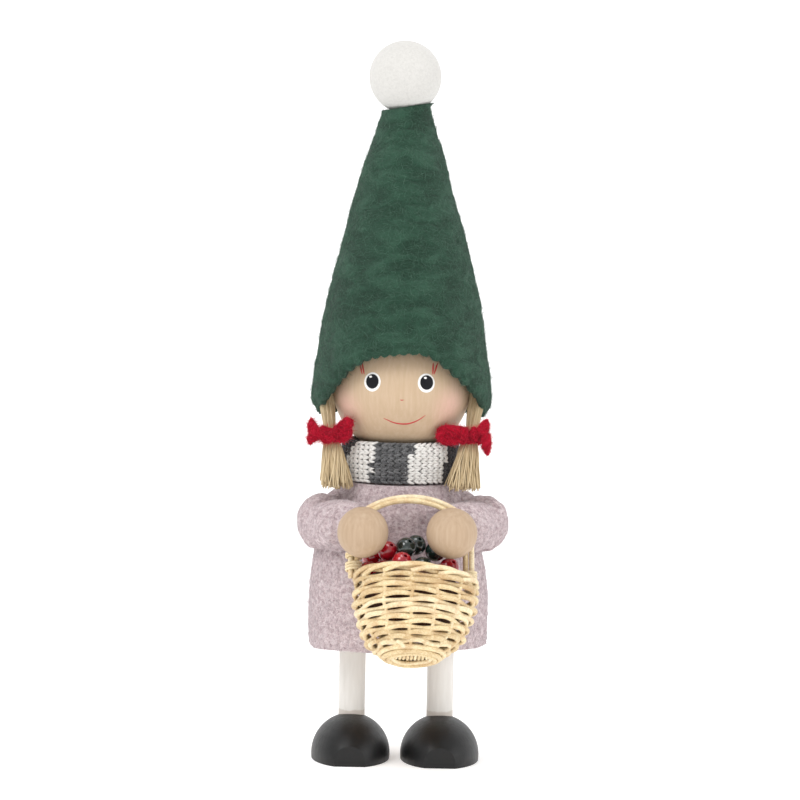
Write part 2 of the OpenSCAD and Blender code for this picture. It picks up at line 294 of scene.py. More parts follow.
class Paint:
    """One procedural material. Lengths are in millimetres of the object."""

    def __init__(self, name, **sockets):
        self.material = bpy.data.materials.new(name)
        self.material.use_nodes = True
        self.tree = self.material.node_tree
        self.shader = self.tree.nodes["Principled BSDF"]
        for socket, value in sockets.items():
            self.shader.inputs[socket.replace("_", " ")].default_value = value
        self.place = self.tree.nodes.new("ShaderNodeTexCoord").outputs["Object"]

    def node(self, kind, inputs, **settings):
        node = self.tree.nodes.new("ShaderNode" + kind)
        for setting, value in settings.items():
            setattr(node, setting, value)
        for socket, value in inputs.items():
            if isinstance(value, bpy.types.NodeSocket):
                self.tree.links.new(value, node.inputs[socket])
            else:
                node.inputs[socket].default_value = value
        return node

    def scaled(self, size):
        """The object's place, divided by a size in millimetres along each axis."""
        share = [1000 / s for s in (size if isinstance(size, tuple) else (size,) * 3)]
        return self.node("Mapping", {"Vector": self.place, "Scale": share}).outputs["Vector"]

    def noise(self, size, detail=3.0, distortion=0.0, rough=0.55):
        inputs = {"Vector": self.scaled(size), "Scale": 1.0, "Detail": detail}
        inputs |= {"Distortion": distortion, "Roughness": rough}
        return self.node("TexNoise", inputs).outputs["Fac"]

    def island(self):
        return self.node("NewGeometry", {}).outputs["Random Per Island"]

    def sum(self, a, b, operation="ADD", clamp=False):
        return self.node("Math", {0: a, 1: b}, operation=operation, use_clamp=clamp).outputs[0]

    def ramp(self, factor, *stops):
        """Colours at shares of a factor, each given as (share, colour)."""
        node = self.node("ValToRGB", {"Fac": factor})
        ramp = node.color_ramp
        while len(ramp.elements) < len(stops):
            ramp.elements.new(0.5)
        for element, (share, colour) in zip(ramp.elements, stops):
            element.position = share
            element.color = colour
        return node.outputs["Color"]

    def mix(self, factor, a, b, blend="MIX"):
        inputs = {"Factor": factor, "A": a, "B": b}
        node = self.tree.nodes.new("ShaderNodeMix")
        node.data_type = "RGBA"
        node.blend_type = blend
        sockets = {"Factor": node.inputs[0], "A": node.inputs[6], "B": node.inputs[7]}
        for key, value in inputs.items():
            if isinstance(value, bpy.types.NodeSocket):
                self.tree.links.new(value, sockets[key])
            else:
                sockets[key].default_value = value
        return node.outputs[2]

    def near(self, point, size, soft=1.0):
        """1 at a point, falling to 0 at that distance in millimetres."""
        away = self.node("VectorMath", {0: self.place, 1: point}, operation="DISTANCE").outputs[1]
        span = {"Value": away, "From Min": size * MM * (1 - soft), "From Max": size * MM}
        span |= {"To Min": 1.0, "To Max": 0.0}
        return self.node("MapRange", span, interpolation_type="SMOOTHSTEP").outputs["Result"]

    def colour(self, socket):
        self.tree.links.new(socket, self.shader.inputs["Base Color"])
        return self

    def rough(self, factor, low, high):
        span = {"Value": factor, "From Min": 0.3, "From Max": 0.7, "To Min": low, "To Max": high}
        value = self.node("MapRange", span).outputs["Result"]
        self.tree.links.new(value, self.shader.inputs["Roughness"])
        return self

    def bump(self, *heights):
        """Bumps one on another, each given as (height, depth in millimetres)."""
        normal = None
        for height, depth in heights:
            inputs = {"Height": height, "Strength": 1.0, "Distance": depth * MM}
            if normal is not None:
                inputs["Normal"] = normal
            normal = self.node("Bump", inputs).outputs["Normal"]
        self.tree.links.new(normal, self.shader.inputs["Normal"])
        return self


# ------------------------------------------------------------------ materials


def felt(name, dark, middle, light, patch, crease):
    """Pressed wool: tangled fibres of darker and lighter wool over soft patches."""
    p = Paint(name, Sheen_Weight=0.1, Sheen_Roughness=0.6, Specular_IOR_Level=0.08)
    tangle = p.noise((0.55, 0.55, 0.22), 5, 2.5, 0.65)
    base = p.ramp(tangle, (0.4, dark), (0.5, middle), (0.62, light))
    blotch = p.noise(patch, 5, 0.6)
    base = p.mix(0.5, base, p.ramp(blotch, (0.38, dark), (0.5, middle), (0.66, light)))
    for size in ((0.14, 1.6, 0.2), (1.7, 0.2, 0.16), (0.2, 0.3, 1.5)):
        strand = p.noise(size, 2, 3)
        base = p.mix(p.ramp(strand, (0.6, (0, 0, 0, 1)), (0.8, (0.4, 0.4, 0.4, 1))), base, light)
    p.colour(base).rough(tangle, 0.85, 1)
    heights = ((blotch, crease), (p.noise(1.6, 3, 1), 0.2), (p.noise(0.35, 3, 2), 0.2), (tangle, 0.15))
    return p.bump(*heights).material


def wool_fibre(name, dark, light):
    """The loose fibres of felt or yarn, each a slightly different colour."""
    p = Paint(name, Sheen_Weight=0.05, Specular_IOR_Level=0.1)
    shade = p.ramp(p.island(), (0.1, dark), (0.9, light))
    shade = p.mix(p.noise(0.8), shade, light)
    return p.colour(shade).rough(p.noise(0.5), 0.8, 1).material


def yarn(name, dark, middle, light, sheen=0.3):
    """Spun wool: fine fibres along and across the strand."""
    p = Paint(name, Sheen_Weight=sheen, Sheen_Roughness=0.5, Specular_IOR_Level=0.1)
    fibre = p.noise((0.12, 0.12, 0.3), 3, 2)
    base = p.ramp(fibre, (0.32, dark), (0.5, middle), (0.7, light))
    base = p.mix(0.3, base, p.ramp(p.island(), (0.1, dark), (0.9, light)))
    return p.colour(base).rough(fibre, 0.85, 1).bump((fibre, 0.1)).material


def beech(name, shades, extra=None):
    """Pale turned wood with fine upright grain and small darker pores."""
    p = Paint(name, Specular_IOR_Level=0.3)
    grain = p.noise((0.9, 0.9, 16), 5, 0.4)
    base = p.ramp(
        grain,
        (0.25, shades[0]),
        (0.5, shades[1]),
        (0.75, shades[2]),
    )
    pores = p.noise((0.18, 0.18, 1.6), 2)
    fleck = p.ramp(pores, (0.3, (1, 1, 1, 1)), (0.36, (0, 0, 0, 1)))
    base = p.mix(p.mix(0.8, fleck, (0, 0, 0, 1)), base, srgb(172, 140, 110))
    if extra is not None:
        base = extra(p, base)
    return p.colour(base).rough(grain, 0.5, 0.66).bump((pores, 0.012), (grain, 0.02)).material


def blush_and_painted_light(p, base):
    """Adds the two rubbed pink cheeks to the wood: real pink blush, painted paler than the wood so that it also lifts
    the shaded sides of the face, as painted light.
    """
    for x, y, z in (CHEEK_RIGHT, CHEEK_LEFT):
        spot = tuple((HEAD + [x, y, z]) * MM)
        soft = p.sum(p.near(spot, 7.5), p.sum(p.noise(0.7), 0.5, "ADD"), "MULTIPLY", True)
        # the pale pink is partly blush and partly painted light on the sides of the face
        base = p.mix(p.sum(soft, 0.5, "MULTIPLY"), base, srgb(232, 184, 172))
    return base


def painted(name, colour, worn, rough, speck=0.3):
    """A coat of paint with slight brush texture and paler rubbed specks."""
    p = Paint(name, Specular_IOR_Level=0.35)
    brush = p.noise((0.8, 0.8, 3), 4)
    speckle = p.ramp(p.noise(speck, 3), (0.66, (0, 0, 0, 1)), (0.75, (1, 1, 1, 1)))
    base = p.mix(p.mix(0.7, speckle, (0, 0, 0, 1)), colour, worn)
    base = p.mix(p.sum(brush, 0.25, "MULTIPLY"), base, worn)
    return p.colour(base).rough(brush, *rough).bump((brush, 0.02), (p.noise(0.25), 0.008)).material


def straw(name, dark, middle, light):
    """Split cane: each strand its own shade, with fine stringy marks."""
    p = Paint(name, Specular_IOR_Level=0.4, Sheen_Weight=0.1)
    marks = p.noise((0.5, 0.5, 0.35), 4, 0.8)
    base = p.ramp(marks, (0.3, dark), (0.5, middle), (0.7, light))
    base = p.mix(0.45, base, p.ramp(p.island(), (0.0, dark), (0.5, middle), (1.0, light)))
    stain = p.ramp(p.noise(3.5, 2), (0.35, srgb(196, 150, 92)), (0.55, (1, 1, 1, 1)))
    base = p.mix(0.35, base, stain, "MULTIPLY")
    return p.colour(base).rough(marks, 0.42, 0.65).bump((p.noise(0.12, 2, 1), 0.04), (marks, 0.05)).material


def flax():
    p = Paint("flax_hair", Specular_IOR_Level=0.35, Sheen_Weight=0.15)
    shade = p.ramp(
        p.island(),
        (0.0, srgb(140, 118, 84)),
        (0.45, srgb(188, 166, 128)),
        (1.0, srgb(222, 206, 172)),
    )
    shade = p.mix(p.noise((0.4, 0.4, 2.5), 3), shade, srgb(200, 178, 140))
    return p.colour(shade).rough(p.noise(0.4), 0.5, 0.7).bump((p.noise((0.1, 0.1, 1)), 0.03)).material


def glossy_bead(name, dark, light):
    p = Paint(name, Coat_Weight=0.8, Coat_Roughness=0.06)
    body = p.noise(2.2, 3)
    return p.colour(p.ramp(body, (0.35, dark), (0.7, light))).rough(body, 0.16, 0.24).bump(
        (p.noise(0.9, 2), 0.02)
    ).material


def eye_enamel(name, dark, light):
    p = Paint(name, Specular_IOR_Level=0.25)
    film = p.noise(0.6, 3)
    return p.colour(p.ramp(film, (0.3, dark), (0.7, light))).rough(film, 0.28, 0.4).bump(
        (film, 0.01)
    ).material


def wire_metal():
    p = Paint("arm_wire", Metallic=1.0)
    drawn = p.noise((0.1, 2.5, 0.1), 3)
    return p.colour(p.ramp(drawn, (0.3, srgb(120, 118, 114)), (0.7, srgb(186, 184, 180)))).rough(
        drawn, 0.3, 0.5
    ).bump((drawn, 0.01)).material


# ------------------------------------------------------------------ head


CHEEK_RIGHT = (-13.6, -9.4, -5.2)
CHEEK_LEFT = (12.2, -11.8, -4.2)
EYES = ((-7.3, 1.7), (6.1, 1.7))
BROWS = (
    ((-10.7, 6.9), (-9.8, 3.4)),
    ((-9.9, 6.2), (-9.3, 3.4)),
    ((7.7, 6.6), (7.6, 3.8)),
    ((8.8, 6.5), (7.9, 3.8)),
)
SMILE = ((-4.3, -7.3), (-1.5, -8.4), (1.4, -8.6), (3.9, -7.8), (6, -6.4))


def on_face(x, z, lift):
    """The point of the face ball at a place across and up, at a height over the wood."""
    flat = np.array([x, -math.sqrt(HEAD_R**2 - x * x - z * z), z])
    return HEAD + flat * (1 + lift / HEAD_R)


def paint_spot(bag, x, z, wide, high, lift, slot):
    """A thin round spot of paint that follows the ball."""
    outward = unit(np.array([x, -math.sqrt(HEAD_R**2 - x * x - z * z), z]))
    right = unit(np.cross([0, 0, 1.0], outward)) * -1
    up = np.cross(outward, right) * -1
    if up[2] < 0:
        up = -up
    rings, columns = 14, 56
    share = np.linspace(0, 1, rings)[::-1, None]
    turn = np.linspace(0, 2 * math.pi, columns, endpoint=False)
    flat = (
        outward * HEAD_R
        + (share * np.cos(turn))[..., None] * right * wide / 2
        + (share * np.sin(turn))[..., None] * up * high / 2
    )
    rise = lift * (1 - smooth(share, 0.82, 1.04) * 1.3)
    top = HEAD + unit(flat) * (HEAD_R + rise)[..., None]
    under = HEAD + unit(flat) * (HEAD_R - 0.25)
    centre = np.array([HEAD + outward * (HEAD_R + lift), HEAD + outward * (HEAD_R - 0.25)])
    skin = grid_faces(rings - 1, columns)
    if np.dot(np.cross(right, up), outward) < 0:
        skin = skin[:, ::-1]
    size = (rings - 1) * columns
    points = np.concatenate([top[:-1].reshape(-1, 3), under[:-1].reshape(-1, 3), centre])
    ring = np.arange(columns)
    after = (ring + 1) % columns
    last = (rings - 2) * columns
    edge = np.stack([ring, ring + size, after + size, after], -1)
    cap = np.stack([last + ring, last + after, np.full(columns, 2 * size)], -1)
    floor = np.stack([last + size + after, last + size + ring, np.full(columns, 2 * size + 1)], -1)
    if np.dot(np.cross(right, up), outward) < 0:
        edge, cap, floor = edge[:, ::-1], cap[:, ::-1], floor[:, ::-1]
    bag.add(points, [skin, skin[:, ::-1] + size, edge, cap, floor], slot)


def brush_line(bag, places, radius, slot):
    """A thin stroke of paint that follows the ball, thinner at both ends."""
    flat = spline([(x, 0, z) for x, z in places], 24)
    line = np.array([on_face(x, z, -radius * 0.35) for x, _, z in flat])
    taper = np.sqrt(np.sin(np.linspace(0.25, math.pi - 0.25, 24)))
    bag.add(*tubes(line, radius * taper, 8), slot)


def make_head():
    bag = Bag()
    bag.add(*ball(HEAD, HEAD_R, 96, 192))
    shades = (srgb(188, 163, 133), srgb(194, 169, 141), srgb(200, 177, 151))
    wood = beech("face_wood", shades, blush_and_painted_light)
    return bag.object("head_ball", [wood], "head", ["head"])


def make_face():
    bag = Bag()
    for x, z in EYES:
        paint_spot(bag, x, z, 4.6, 4.9, 0.07, 0)
        paint_spot(bag, x + 0.05, z + 0.12, 3.75, 3.95, 0.15, 1)
        # a small white spot over the upper left of each pupil: a painted highlight that stands in for light reflected
        # off the glossy pupil
        paint_spot(bag, x - 0.35, z + 1.25, 0.9, 0.6, 0.2, 0)
    for places in BROWS:
        brush_line(bag, places, 0.24, 2)
    brush_line(bag, SMILE, 0.22, 2)
    brush_line(bag, ((-0.35, -2.5), (0.1, -2.58), (0.55, -2.5)), 0.13, 2)
    white = eye_enamel("eye_white", srgb(232, 230, 226), srgb(246, 245, 243))
    black = eye_enamel("eye_black", srgb(5, 6, 12), srgb(12, 13, 22))
    red = eye_enamel("face_red", srgb(178, 52, 56), srgb(198, 72, 72))
    return bag.object("face_paint", [white, black, red], "head")


def make_pom():
    middle = cad_middle("pom_ball")
    radius = (cad_box("pom_ball")[1][0] - cad_box("pom_ball")[0][0]) / 2
    top = cad_box("pom_ball")[1][2]

    def pressed(points):
        return points * (1 + 0.004 * lumps(points, 0.5, 3))[:, None]

    bag = Bag()
    bag.add(*ball([middle[0] - 0.5, middle[1], top - radius], radius, 90, 180, pressed))
    p = Paint("pom_felt", Sheen_Weight=0.25, Specular_IOR_Level=0.2)
    soft = p.noise(0.6, 4, 0.8)
    p.colour(p.ramp(soft, (0.3, srgb(194, 192, 188)), (0.6, srgb(204, 202, 198))))
    material = p.rough(soft, 0.75, 0.9).bump((soft, 0.05), (p.noise(3), 0.08)).material
    return bag.object("pom_ball_soft", [material], "head", ["pom_ball"])


# ------------------------------------------------------------------ hat


HAT_PROFILE = (
    [0, 6.86, 19.05, 27.8, 38.9, 52.2, 64.8, 76.2],
    [22.5, 22.25, 20.81, 18.95, 16.42, 12.87, 9.32, 5.6],
)
BRIM_BASE = 87.4
HAT_TIP = cad_box("hat")[1][2]
BRIM = ([-22.5, -21.8, -21, -19.5, -16.1, -11.3, -6, 0, 22], [103.4, 103.1, 102.5, 101, 97.3, 92.4, 88.6, 87.4, 86.2])


def soft_profile(at, places, values, reach):
    """A profile through the given values, with its corners rounded over a reach."""
    offsets = np.linspace(-reach, reach, 9)
    return np.mean([np.interp(at + o, places, values) for o in offsets], axis=0)


def hat_skin(columns, rows, depth):
    """The hat's skin, depth millimetres inside the outer surface."""
    turn = np.linspace(0, 2 * math.pi, columns, endpoint=False)[None]
    up = np.linspace(0, 1, rows)[:, None]
    edge = soft_profile(22.4 * np.sin(turn), *BRIM, 1.6)
    pinked = (0.9 + 0.45 * np.sin(5 * turn)) * np.abs(np.sin(turn * 26 + np.sin(3 * turn)))
    pinked = pinked + 0.35 * np.sin(7 * turn + 1)
    low = edge - pinked + 0.3
    high = HAT_TIP + 1.0 * np.cos(turn)
    z = low + (high - low) * up
    radius = soft_profile(z - BRIM_BASE, *HAT_PROFILE, 3)
    ring = np.stack([np.cos(turn) + 0 * z, np.sin(turn) + 0 * z, 0 * z], -1)
    place = ring * radius[..., None]
    place[..., 2] = z
    calm = smooth(up, 1.0, 0.9)
    crumple = 0.5 * lumps(place, (14, 14, 12), 1) + 0.2 * lumps(place, (9, 9, 2.6), 2)
    crumple += 0.12 * lumps(place, (2, 2, 1.1), 5)
    tuck = (0.55 + 0.9 * smooth(np.sin(turn), -0.6, 0)) * np.exp(-(((z - low) / 1.7) ** 2))
    radius = radius + crumple * calm - tuck - depth
    ball_r = np.sqrt(np.maximum(81 - (z - HAT_TIP - 7.4) ** 2, 0)) + 0.35
    radius = np.where(z > HAT_TIP - 1.5, np.maximum(radius, ball_r * (depth < 1)), radius)
    place = AXIS + ring * radius[..., None]
    place[..., 2] = z
    return place


def make_hat():
    columns, rows = 310, 145
    outer, inner = hat_skin(columns, rows, 0), hat_skin(columns, rows, 1.5)
    bag = Bag()
    bag.add(*shell(outer, inner))
    dark, middle, light = srgb(18, 42, 30), srgb(36, 68, 52), srgb(62, 98, 79)
    green = felt("hat_felt", dark, middle, light, (7, 7, 3), 1.4)
    hat = bag.object("hat_shell", [green], "head", ["hat"])
    rng = dice(11)
    points, faces = shell(outer, inner)
    outside = [grid_faces(rows, columns), faces[2]]
    where, normal = sampled(points, outside, 9500, rng)
    fuzz = Bag()
    fuzz.add(*fibres(where, normal, rng, 2.8, 0.035, 1.1))
    strand = wool_fibre("hat_fibre", srgb(24, 52, 38), srgb(88, 120, 102))
    loose = fuzz.object("hat_fuzz", [strand], "head")


# ------------------------------------------------------------------ hair and its ties


TAIL_TOP = np.array([18.9, -3.4, 91.5])
TAIL_TIE = np.array([17.2, -9, 82.4])
TAIL_END = np.array([15.6, -12.2, 69.1])


def on_side(points, side):
    """Points of the left side, or their mirror image, moved to the figure's axis."""
    return np.asarray(points, float) * [side, 1, 1] + AXIS


def make_pigtail(name, side, seed):
    rng = dice(seed)
    count, steps = 300, 26
    t = np.linspace(0, 1, steps)
    knee = 0.42
    centre = spline([TAIL_TOP + [0.4, 1.2, 2.2], TAIL_TIE, TAIL_END], steps)
    centre[:, 2] = np.interp(t, [0, knee, 1], [TAIL_TOP[2] + 2, TAIL_TIE[2], TAIL_END[2]])
    spread = np.interp(t, [0, 0.2, knee, 0.6, 1], [1.8, 1.75, 1.25, 2.6, 4.3])
    turn = rng.uniform(0, 2 * math.pi, count)
    out = np.sqrt(rng.random(count))
    length = rng.uniform(0.93, 1.0, count)
    stray = (rng.random(count) > 0.93) * rng.uniform(0.05, 0.25, count)
    wave = rng.uniform(0, 2 * math.pi, (count, 2))
    along = t[None] * length[:, None]
    path = np.stack([np.interp(along, t, centre[:, k]) for k in range(3)], -1)
    reach = np.interp(along, t, spread) * (out[:, None] + stray[:, None] * smooth(along, knee, 1))
    twist = turn[:, None] + 0.5 * along + 0.25 * np.sin(5 * along + wave[:, :1])
    path[..., 0] += reach * np.cos(twist) + 0.14 * np.sin(9 * along + wave[:, 1:])
    path[..., 1] += reach * np.sin(twist) * 0.85 + 0.14 * np.cos(8 * along + wave[:, :1])
    path[..., 2] += rng.uniform(-0.4, 0.3, (count, 1)) * (along > knee)
    bag = Bag()
    radius = rng.uniform(0.12, 0.2, (count, 1)) * np.ones(steps)
    bag.add(*tubes(on_side(path, side), radius, 6))
    return bag.object(name + "_strands", [MATERIALS["hair"]], "head", [name])


def plied(path, radius, pitch, rng):
    """Three strands twisted together along a path, with one radius or one for each step."""
    steps = len(path)
    radius = np.broadcast_to(radius, steps)
    ahead = unit(np.gradient(path, axis=0))
    gone = np.concatenate([[0], np.cumsum(np.linalg.norm(np.diff(path, axis=0), axis=1))])
    across = np.empty_like(path)
    last = unit(np.cross(ahead[0], [0.3, 0.2, 0.9]))
    for i in range(steps):
        last = unit(last - np.dot(last, ahead[i]) * ahead[i])
        across[i] = last
    over = np.cross(ahead, across)
    strands = []
    for k in range(3):
        phase = 2 * math.pi * (gone / pitch + k / 3)
        offset = np.cos(phase)[:, None] * across + np.sin(phase)[:, None] * over
        strands.append(path + offset * radius[:, None] * 0.5)
    thick = radius * 0.62 * rng.uniform(0.9, 1.1, (3, steps))
    return tubes(np.array(strands), thick, 9)


def make_hair_tie(name, side, bow, seed):
    """Soft red yarn wound round the hair, with a bow: loops one way and frayed ends the other."""
    rng = dice(seed)
    turn = np.linspace(0.2, 2 * math.pi * 2.2, 90)
    rise = np.linspace(-1.2, 1.0, 90)
    lean = np.array([0.15, 0.4, 0])
    wound = np.stack([2.1 * np.cos(turn), 2.1 * np.sin(turn), rise - 0.25], -1)
    wound += lean * rise[:, None]
    wound = on_side(TAIL_TIE + wound, side)
    bag = Bag()
    bag.add(*plied(wound, 1.0, 4, rng))
    knot = on_side(TAIL_TIE + [0, -2.7, 0.2], side)
    for places, ends in bow:
        path = spline(knot + np.array(places) * [side, 1, 1], 60)
        radius = np.interp(np.linspace(0, 1, 60), np.linspace(0, 1, len(ends)), ends)
        bag.add(*plied(path, radius, 4.5, rng))
    red = bag.object(name + "_yarn", [MATERIALS["red_yarn"]], "head", [name])
    points, faces, _ = bag.arrays()
    where, normal = sampled(points, faces, 6500, rng)
    fuzz = Bag()
    fuzz.add(*fibres(where, normal, rng, 2.1, 0.03, 1.2))
    fuzz.object(name + "_fuzz", [MATERIALS["red_fibre"]], "head")
    return red


LOOP = (0.9, 1.0, 1.15, 1.15, 1.0, 0.9)
FRAYED = (0.8, 1.05, 1.35, 1.1, 0.3)
BOW_RIGHT = (
    ([[-1.5, -0.6, 0.2], [-3.2, -0.5, 0.4], [-4.3, -0.4, 2.9], [-2.9, 0.2, 2.2], [-1, 0.2, 0.6]], LOOP),
    ([[-1, -0.5, 0], [-3, -0.5, 0.6], [-4.1, -0.3, 0.2], [-2.6, 0, -1.2], [-0.8, 0, -1]], LOOP),
    ([[1.2, -0.4, -1], [2.7, -0.6, -0.3], [4.5, -0.5, 0.9], [5.1, -0.3, 3.6]], FRAYED),
    ([[1.2, -0.2, -0.6], [2.8, -0.4, -0.3], [4.6, -0.3, -0.9], [5.4, -0.2, -2.9]], FRAYED),
    ([[2.2, -0.8, -1.6], [0.2, -1, -1], [-1.8, -0.8, 0.6]], (1.0, 1.15, 1.0)),
)
BOW_LEFT = (
    ([[-1, -0.4, 1], [-3.5, -0.7, 1.5], [-6.8, -0.6, 1.2], [-7, 0, -0.8], [-4, 0, -1.2], [-1, 0, -0.6]], LOOP),
    ([[-1, -0.2, 0.6], [-3.6, -0.3, 0.6], [-6, -0.1, 0.2], [-3.6, 0.3, -0.2], [-1, 0.2, -0.2]], LOOP),
    ([[0.8, -0.4, 0.8], [1.9, -0.6, 1.2], [3.2, -0.5, 1.7], [4.1, -0.3, 4.2]], FRAYED),
    ([[0.8, -0.2, 0.6], [2, -0.4, 0.9], [3.6, -0.3, 0.1], [4.4, -0.2, -4.8]], FRAYED),
    ([[1.4, -0.8, -1.2], [0.9, -1, 0.4], [1.3, -0.8, 2]], (0.9, 1.1, 0.9)),
    ([[-1.6, -0.8, -1], [-1.2, -1, 0.3], [-1.7, -0.8, 1.8]], (0.9, 1.1, 0.9)),
)


# ------------------------------------------------------------------ scarf


SCARF_LOW, SCARF_HIGH = cad_box("scarf")[0][2], cad_box("scarf")[1][2]
SCARF_R = (cad_box("scarf")[1][0] - cad_box("scarf")[0][0]) / 2
STRIPES = (
    (-66, 0), (-32, 1), (6, 2), (46, 1), (78, 0),
    (110, 1), (146, 2), (182, 1), (216, 0), (252, 1), (270, 2),
)


def stripe_at(angle):
    """Which yarn a place round the neck has, from the angle off straight ahead."""
    angle = (angle + 90) % 360 - 90
    return next((yarn for limit, yarn in STRIPES if angle < limit), 0)


KNIT_ROWS, KNIT_COURSES = 8, 54


def stitch(angle, share, rng):
    """One V of the knitting, lying on its side: two plump legs that open away from their tip."""
    t = np.linspace(0, 1, 10)
    tall = (SCARF_HIGH - SCARF_LOW - 1.2) / KNIT_ROWS
    long = 360 / KNIT_COURSES * 1.3
    legs = []
    for leg in (-1, 1):
        open_up = leg * tall * (0.6 * t - 0.02) + rng.uniform(-0.05, 0.05)
        up = SCARF_LOW + 0.6 + (SCARF_HIGH - SCARF_LOW - 1.2) * share + open_up
        high = np.clip((up - SCARF_LOW) / (SCARF_HIGH - SCARF_LOW), 0, 1)
        belly = 0.5 * np.sqrt(np.sin(np.pi * high)) - 0.9 * smooth(high, 0.84, 1)
        out = SCARF_R - 1.45 + belly + 0.62 * np.sin(math.pi * (0.06 + 0.86 * t))
        turn = np.radians(angle + long * t)
        legs.append(np.stack([out * np.cos(turn), out * np.sin(turn), up], -1) + AXIS)
    thick = 0.38 * np.sin(math.pi * (0.08 + 0.86 * t)) ** 0.6 * rng.uniform(0.92, 1.08)
    return tubes(np.array(legs), thick, 9)


def make_scarf():
    bag = Bag()
    rows, columns = 14, 120
    turn = np.linspace(0, 2 * math.pi, columns, endpoint=False)[None]
    up = np.linspace(0, 1, rows)[:, None]
    belly = np.sin(up * math.pi) ** 0.5

    def skin(radius):
        at = radius + 0.5 * belly - 1.7 + 0 * turn
        z = SCARF_LOW + 0.5 + (SCARF_HIGH - SCARF_LOW - 1) * up + 0 * turn
        return np.stack([at * np.cos(turn), at * np.sin(turn), z], -1) + AXIS

    bag.add(*shell(skin(SCARF_R), skin(SCARF_R - 0.9)))
    band = bag.object("scarf_band", [MATERIALS["yarn_grey"]], "root", ["scarf"])

    rng = dice(31)
    knit = Bag()
    for row in range(KNIT_ROWS):
        for course in range(KNIT_COURSES):
            share = (row + 0.5) / KNIT_ROWS
            angle = 360 * course / KNIT_COURSES + rng.uniform(-0.5, 0.5)
            yarn = stripe_at(angle + 10 * (0.5 - share) + rng.uniform(-3, 3))
            knit.add(*stitch(angle - 90, share, rng), yarn)
    yarns = [MATERIALS["yarn_dark"], MATERIALS["yarn_white"], MATERIALS["yarn_grey"]]
    knitted = knit.object("scarf_knit", yarns, "root")

    points, faces, slots = knit.arrays()
    where, normal = sampled(points, faces, 4200, rng)
    outside = np.einsum("ij,ij->i", normal, unit((where - AXIS) * [1, 1, 0])) > 0.1
    where, normal = where[outside], normal[outside]
    angles = np.degrees(np.arctan2(where[:, 1] - AXIS[1], where[:, 0] - AXIS[0])) + 90
    lower = 0.5 - (where[:, 2] - SCARF_LOW) / (SCARF_HIGH - SCARF_LOW)
    kinds = np.array([stripe_at(a) for a in angles + 10 * lower])
    fuzz = Bag()
    for kind in range(3):
        pick = kinds == kind
        fuzz.add(*fibres(where[pick], normal[pick], rng, 1.1, 0.024, 0.4), kind)
    strands = [MATERIALS["fibre_dark"], MATERIALS["fibre_white"], MATERIALS["fibre_grey"]]
    loose = fuzz.object("scarf_fuzz", strands, "root")


# ------------------------------------------------------------------ coat


COAT_LOW, COAT_HIGH = cad_box("coat")[0][2], cad_box("coat")[1][2]
COAT_PROFILE = (
    [28.4, 32, 37.8, 42.4, 46.4, 50.4, 57, 63, 67.4, 70],
    [22.2, 22.4, 22.5, 22.4, 22.0, 21.3, 19.9, 17.9, 15.6, 13.9],
)


def coat_skin(columns, rows, depth):
    turn = np.linspace(0, 2 * math.pi, columns, endpoint=False)[None]
    up = np.linspace(0, 1, rows)[:, None]
    edge = COAT_LOW + 0.5 + 0.45 * np.sin(turn + 1.2) + 0.25 * np.sin(5 * turn) - 0.5 * np.sin(turn)
    z = edge + (COAT_HIGH - edge) * up
    radius = soft_profile(z, *COAT_PROFILE, 1.2)
    ring = np.stack([np.cos(turn) + 0 * z, np.sin(turn) + 0 * z, 0 * z], -1)
    place = ring * radius[..., None]
    place[..., 2] = z
    low = 1 - up
    folds = 0.38 * np.sin(5 * turn + 0.7 + 0.5 * np.sin(2 * turn)) * low**1.5
    folds += 0.3 * lumps(place, (16, 16, 22), 4) + 0.22 * lumps(place, (5, 5, 5), 6)
    folds += 0.12 * lumps(place, (1.7, 1.7, 1.7), 7)
    seam = 0.5 * np.exp(-((np.degrees(turn) - 97) % 360 / 3.5) ** 2)
    radius = radius + folds * smooth(up, 1.02, 0.8) + seam - depth
    z = z - depth * smooth(up, 0.9, 1)
    place = AXIS + ring * radius[..., None]
    place[..., 2] = z
    return place


def make_coat():
    columns, rows = 330, 130
    outer, inner = coat_skin(columns, rows, 0), coat_skin(columns, rows, 1.2)
    collar = []
    for skin in (outer, inner):
        top = skin[-1]
        steps = np.linspace(0, 1, 8)[1:, None, None]
        close = AXIS * [1, 1, 0] + (top - AXIS) * [0.36, 0.36, 1] + [0, 0, 0.05]
        collar.append(np.concatenate([skin, top + (close - top) * steps]))
    bag = Bag()
    points, faces = shell(*collar)
    bag.add(points, faces)
    coat = bag.object("coat_shell", [MATERIALS["coat_felt"]], "root", ["coat"])
    rng = dice(41)
    outside = [grid_faces(rows, columns), faces[2]]
    where, normal = sampled(points, outside, 9500, rng)
    fuzz = Bag()
    fuzz.add(*fibres(where, normal, rng, 2.4, 0.035, 0.8))
    loose = fuzz.object("coat_fuzz", [MATERIALS["coat_fibre"]], "root")


# ------------------------------------------------------------------ sleeves


def in_arm_frame(points):
    """Points from the arms' own frame, turned a little about the figure's axis."""
    points = np.asarray(points, float)
    c, s = math.cos(ARMS_TURN), math.sin(ARMS_TURN)
    turned = points @ np.array([[c, s, 0], [-s, c, 0], [0, 0, 1]])
    return turned + AXIS


SHOULDER = (12.2, -0.4, 64.2)
ELBOWS = {1: (19.1, -5.5, 60.1), -1: (-18, -5.5, 60.1)}
CUFF = (10.8, -22.2, 60.8)
SIM = 20


